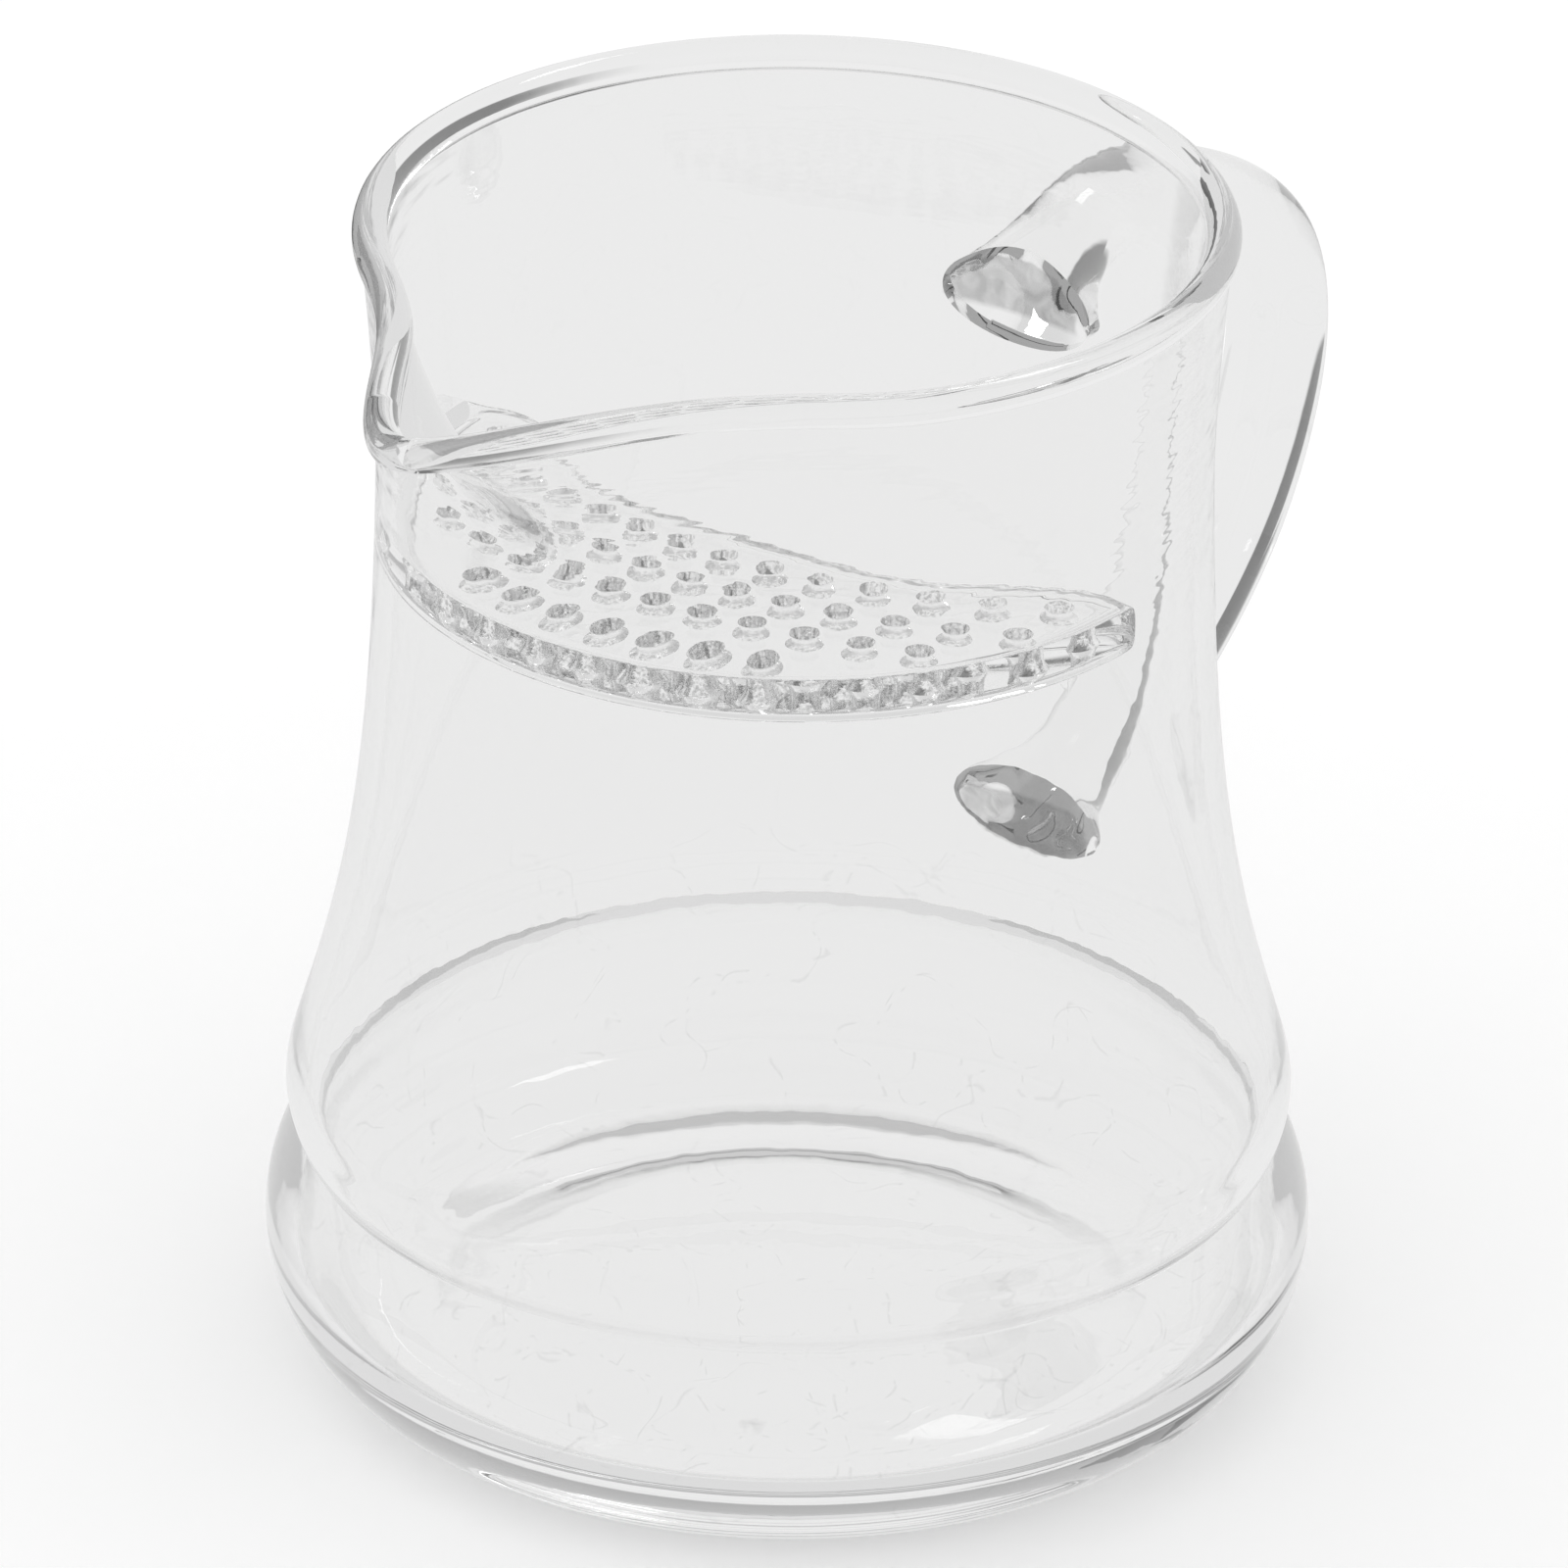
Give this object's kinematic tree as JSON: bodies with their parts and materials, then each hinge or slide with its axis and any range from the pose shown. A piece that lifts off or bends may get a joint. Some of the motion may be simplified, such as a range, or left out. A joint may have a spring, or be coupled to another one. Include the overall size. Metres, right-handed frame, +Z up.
{
  "type": "glass tea pitcher",
  "caption": "Clear glass tea pitcher with a flared, bulging foot, a pinched spout, a glass rod handle and a built-in perforated glass strainer plate behind the spout.",
  "frame": {"origin": "centre of the ring the pitcher rests on, at the resting plane", "axes": "+Z up along the body's axis, +X towards the spout, -X towards the handle; the part is symmetric about the XZ plane"},
  "size_m": [0.1463, 0.0948, 0.1133],
  "materials": {
    "clear_glass": "clear, fire polished"
  },
  "bodies": {
    "root": {"glass_body": "clear_glass", "handle": "clear_glass", "strainer_plate": "clear_glass"}
  },
  "joints": []
}
